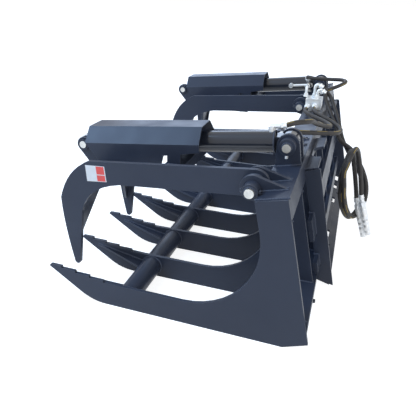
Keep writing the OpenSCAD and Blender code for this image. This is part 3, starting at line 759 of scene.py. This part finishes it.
# %% [markdown]
# Each tine is welded on both its faces, to the front tube, its brace, the bottom beam, the top
# beam and, between the mount's end plates, the two rails.

# %% Seams of the tines and side plates
for i in range(-4, 5):
    for face in (-6, 6):
        x = i * PITCH + face
        if abs(x) > HALF_WIDTH - 4:
            continue
        ring_seam("frame", x, TUBE, TUBE_RADIUS)
        straight_seam("frame", x, (258, 59), (66, 96))
        straight_seam("frame", x, (256, 50), (66, 87))
        straight_seam("frame", x, (830, 110.5), (902, 110.5))
        column_seam(x, (0, 420.5), (-10, 420.5))
        if abs(x) < RAIL_REACH:
            for low, high in RAILS:
                column_seam(x, (0, low), (0, high))

# %% [markdown]
# On the beam stand the ears of the cylinders and the lugs of the claws, and their pins' collars
# are welded on too. Behind the columns, the mount's end plates close round the rails.

# %% Seams of the lugs, collars and mount
for s in (-1, 1):
    column_seam(s * (HALF_WIDTH - 12.5), (-97, BEAM_TOP), (0, BEAM_TOP))
    for j in (-45, -30, 30, 45):
        column_seam(s * (CLAW_X + j), (-92, BEAM_TOP), (-4, BEAM_TOP))
    for k in (-1, 1):
        arm = CLAW_X + k * ARM_OUT
        ring_seam("frame", s * (CLAW_X + k * 74), BASE, 15.5)
        ring_seam("frame", s * (arm + k * 84), PIVOT, 16.5)
        for j in (-46, -31, 31, 46):
            column_seam(s * (arm + j), (-97.5, 442), (-97.5, BEAM_TOP), (-13, BEAM_TOP))
    for x in (562, 572):
        for low, high in RAILS:
            column_seam(s * x, (0, low), (14.5, low), (14.5, high), (0, high))
    column_seam(s * 561.5, (0, 455.5), (42, 455.5))
    straight_seam("frame", s * 561.5, (882, 66.5), (958, 44.5))

# %% [markdown]
# The crossbar and the web are welded between a claw's two plates, and each plate to its hub. The
# lugs stand on the web and the cover on the crossbar. A cylinder has one ring, where its base
# meets the barrel.

# %% Seams of the claws and barrels
CROSSBAR = ((344.853, 425.959), (414.853, 467.959))
WEB = ((94.853, 437.959), (29.853, 149.959))
for side, s in SIDES.items():
    body = side + "_claw"
    (y0, z0), (y1, z1) = CROSSBAR
    for k in (-1, 1):
        inner = s * (CLAW_X + k * (ARM_OUT - HALF_PLATE))
        straight_seam(body, inner, (y0, z0), (y1, z0), (y1, z1), (y0, z1), (y0, z0))
        straight_seam(body, inner, *WEB)
        for face in (-HALF_PLATE, HALF_PLATE):
            ring_seam(body, s * (CLAW_X + k * ARM_OUT) + face, PIVOT, 30.5)
    for j in (-42, -30, 30, 42):
        straight_seam(body, s * (CLAW_X + j), (80, 434), (58, 338))
    for j in (-98.5, 98.5):
        straight_seam(body, s * (CLAW_X + j), (353, 468.5), (403, 468.5))
    seam(side + "_barrel", *(on_cylinder(s, 37.6 * math.cos(a), 37.6 * math.sin(a), 50) for a in TURN))

# %% Lay the beads
BEAD_PITCH, BEAD_WIDTH = 0.0042, 0.0036
for number, (body, paths) in enumerate(seams.items()):
    if not paths:
        continue
    bm = bmesh.new()
    for path in paths:
        row = [bm.verts.new(p) for p in path]
        for a, b in zip(row, row[1:]):
            bm.edges.new((a, b))
    drawn = piece_from("seams_" + body, bm)
    bead = drawn.modifiers.new("bead", "NODES")
    bead.node_group = BEADS
    # The beads take the lighter weld paint, which holds a painted highlight.
    values = {"Pitch": BEAD_PITCH, "Width": BEAD_WIDTH, "Seed": number, "Finish": weld_wear_and_painted_highlight}
    for item in BEADS.interface.items_tree:
        if item.in_out == "INPUT" and item.name in values:
            bead[item.identifier] = values[item.name]
    piece = as_plain_mesh(drawn, "weld_beads_" + body)
    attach(piece, body)
    print(piece.name, len(piece.data.polygons), "faces")

# %% [markdown]
# ## Nuts and bolts
# A bolt through each collar keeps the claw's pins from turning, and the base pins are greased
# through a nipple below. Each is one chamfered nut, set on its axis.

# %% Nuts and nipples on the pins
PIN_COLLAR, BOLT_OFF, NIPPLE_DROP = 72, 25, 28


def nuts(name, body, finish, spots):
    """One piece of several hex nuts, each as place, direction, thickness and radius in mm."""
    bm = bmesh.new()
    for place, way, thick, radius in spots:
        turned(bm, place, way, nut_profile(0, thick, radius), sides=6, smooth=False)
    return made_piece(name, bm, finish, body)


for side, s in SIDES.items():
    spots, studs = [], []
    for k in (-1, 1):
        x = s * (CLAW_X + k * (ARM_OUT + PIN_COLLAR))
        for d in (-1, 1):
            spots.append((at(x, PIVOT[0] + d * BOLT_OFF, PIVOT[1]), (0, d, 0), 6, 7.5))
        studs.append((at(s * (CLAW_X + k * 60.5), BASE[0], BASE[1] - NIPPLE_DROP), (0, 0, -1), 14, 5))
    nuts("collar_nuts_" + side, "frame", paint, spots)
    nuts("grease_nipples_" + side, "frame", zinc, studs)

# %% [markdown]
# The block's fittings are bent steel tubes with a hex at the foot, screwed into its top, and two
# straight nipples in its side. Together they replace the plainer ones of the CAD.

# %% Block fittings
ELBOW_RADIUS = 0.0065
bm = bmesh.new()
for line in RISERS.values():
    tube_along(bm, line, ELBOW_RADIUS, sides=16)
    turned(bm, line[0], (0, 0, 1), nut_profile(0, 10, 12), sides=6, smooth=False)
    turned(bm, line[0], (0, 0, 1), nut_profile(10, 9, 9.5), sides=6, smooth=False)
for y, z in SIDE_PORTS.values():
    foot = at(BLOCK_SIDE, y, z)
    turned(bm, foot, (1, 0, 0), [(0, 9), (NIPPLE_FACE - BLOCK_SIDE, 9)], sides=16)
    turned(bm, foot, (1, 0, 0), nut_profile(0, 12, 14), sides=6, smooth=False)
fittings = made_piece("block_fittings", bm, zinc, "frame")
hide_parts("manifold_fittings")

# %% [markdown]
# ## The blank sticker
# A square vinyl sticker sits on the near claw arm, half white and half red. It is left blank: a
# thin white sheet with two red ones a hair above it, their rims rounded by a Bevel modifier.

# %% Sticker
def vinyl(name, colour):
    made, tree, shader = finish_named(name, Roughness=0.3, Coat_Weight=0.3)
    faded = [c * 0.94 for c in colour]
    tree.links.new(mixed(tree, patches(tree, 40, 2), faded, colour), shader.inputs["Base Color"])
    return made


white_vinyl = vinyl("white_vinyl", (0.82, 0.83, 0.85))
red_vinyl = vinyl("red_vinyl", (0.86, 0.06, 0.05))
ARM_FACE = CLAW_X + ARM_OUT + HALF_PLATE


def panel(name, corners, lift, finish):
    """A thin plate on the near claw arm from its four corners, as (y, z)."""
    bm = bmesh.new()
    low = [bm.verts.new(at(ARM_FACE, y, z)) for y, z in corners]
    high = [bm.verts.new(at(ARM_FACE + lift, y, z)) for y, z in corners]
    bm.faces.new(high)
    bm.faces.new(low[::-1])
    for k in range(len(low)):
        n = (k + 1) % len(low)
        bm.faces.new((low[k], low[n], high[n], high[k]))
    bmesh.ops.recalc_face_normals(bm, faces=bm.faces)
    piece = made_piece(name, bm, finish, "right_claw")
    bevel = piece.modifiers.new("rounded", "BEVEL")
    bevel.width, bevel.segments = 0.0002, 2
    return piece


SHEETS = {
    "sticker_white": (
        [(97.3, 475.1), (172.8, 478.8), (179.3, 421.6), (101.6, 414.9)], 0.4, white_vinyl),
    "sticker_red_upper": (
        [(139, 475.4), (169.6, 476.9), (172.9, 448), (141.5, 445.6)], 0.7, red_vinyl),
    "sticker_red_lower": (
        [(141.7, 442.8), (173.2, 445.2), (175.8, 423.2), (143.4, 420.4)], 0.7, red_vinyl),
}
for name, (corners, lift, finish) in SHEETS.items():
    panel(name, corners, lift, finish)

# %% [markdown]
# ## The studio
# The floor is a plain pale sheet that keeps the grapple's soft shadow. The camera sees it nearly
# white, and so do the bright fittings. The lamps are wide and soft, so a colour renders about as
# it is written.

# %% Floor
FLOOR_HALF, FLOOR_SEEN = 30, 0.8
bpy.context.scene.view_settings.view_transform = "Standard"


def background_rays(tree):
    """1 for a ray that shows the background: straight from the camera, mirrored or through glass."""
    rays = add(tree, "ShaderNodeLightPath").outputs
    indirect = calc(tree, "MAXIMUM", rays["Is Glossy Ray"], rays["Is Transmission Ray"])
    return calc(tree, "MAXIMUM", rays["Is Camera Ray"], indirect)


bm = bmesh.new()
corners = ((-1, -1), (1, -1), (1, 1), (-1, 1))
bm.faces.new([bm.verts.new((x * FLOOR_HALF, y * FLOOR_HALF, 0)) for x, y in corners])
floor = piece_from("floor", bm)
floor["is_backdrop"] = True
pale, tree, shader = finish_named("pale_floor", Roughness=0.9)
shader.inputs["Base Color"].default_value = (0.8, 0.8, 0.8, 1)
shader.inputs["Emission Color"].default_value = (1, 1, 1, 1)
glow = calc(tree, "MULTIPLY", background_rays(tree), FLOOR_SEEN)
tree.links.new(glow, shader.inputs["Emission Strength"])
floor.data.materials.append(pale)

# %% [markdown]
# The world is a dim pale blue sky to light the object, and plain white wherever it is seen. Five
# wide lamps do the rest: one high and blue like open sky, one beside the camera, two low fills
# and a large panel on the far side.

# %% World and lamps
SKY_COLOUR, SKY_STRENGTH = (0.8, 0.9, 1), 0.42
world = bpy.data.worlds.new("studio")
bpy.context.scene.world = world
world.use_nodes = True
tree = world.node_tree
sky = tree.nodes["Background"]
seen = background_rays(tree)
tree.links.new(mixed(tree, seen, SKY_COLOUR, (1, 1, 1)), sky.inputs["Color"])
tree.links.new(ranged(tree, seen, 0, 1, SKY_STRENGTH, 1), sky.inputs["Strength"])


def lamp(name, place, target, size, power, colour):
    """A round area lamp, size metres across, that points at a target."""
    data = bpy.data.lights.new(name, "AREA")
    data.shape, data.size, data.energy, data.color = "DISK", size, power, colour
    made = bpy.data.objects.new(name, data)
    bpy.context.scene.collection.objects.link(made)
    made.location = place
    made.rotation_euler = (Vector(target) - Vector(place)).to_track_quat("-Z", "Y").to_euler()


lamp("high_soft", (1.7, -2.6, 3.6), (0.5, -0.1, 0.5), 2.2, 126, (0.42, 0.66, 1))
lamp("camera_side", (3.6, 1.6, 2.4), (0, 0, 0.3), 2.4, 24, (1, 0.96, 0.9))
lamp("rear_fill", (2.2, 4.2, 1.8), (0, 0.4, 0.3), 2.4, 30, (1, 0.97, 0.93))
lamp("front_fill", (1.5, -3.6, 1.6), (0, 0, 0.3), 2.4, 22, (1, 1, 1))
lamp("sky_panel", (-4.3, -1.6, 2.0), (0, 0, 0.4), 3.0, 42, (0.45, 0.65, 1))

# %% [markdown]
# ## Finish
# The dressed grapple's box is printed, so that it can be compared with the CAD model.

# %% Print the box
low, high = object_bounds()
print("visual box", [round(v, 3) for v in low], [round(v, 3) for v in high])
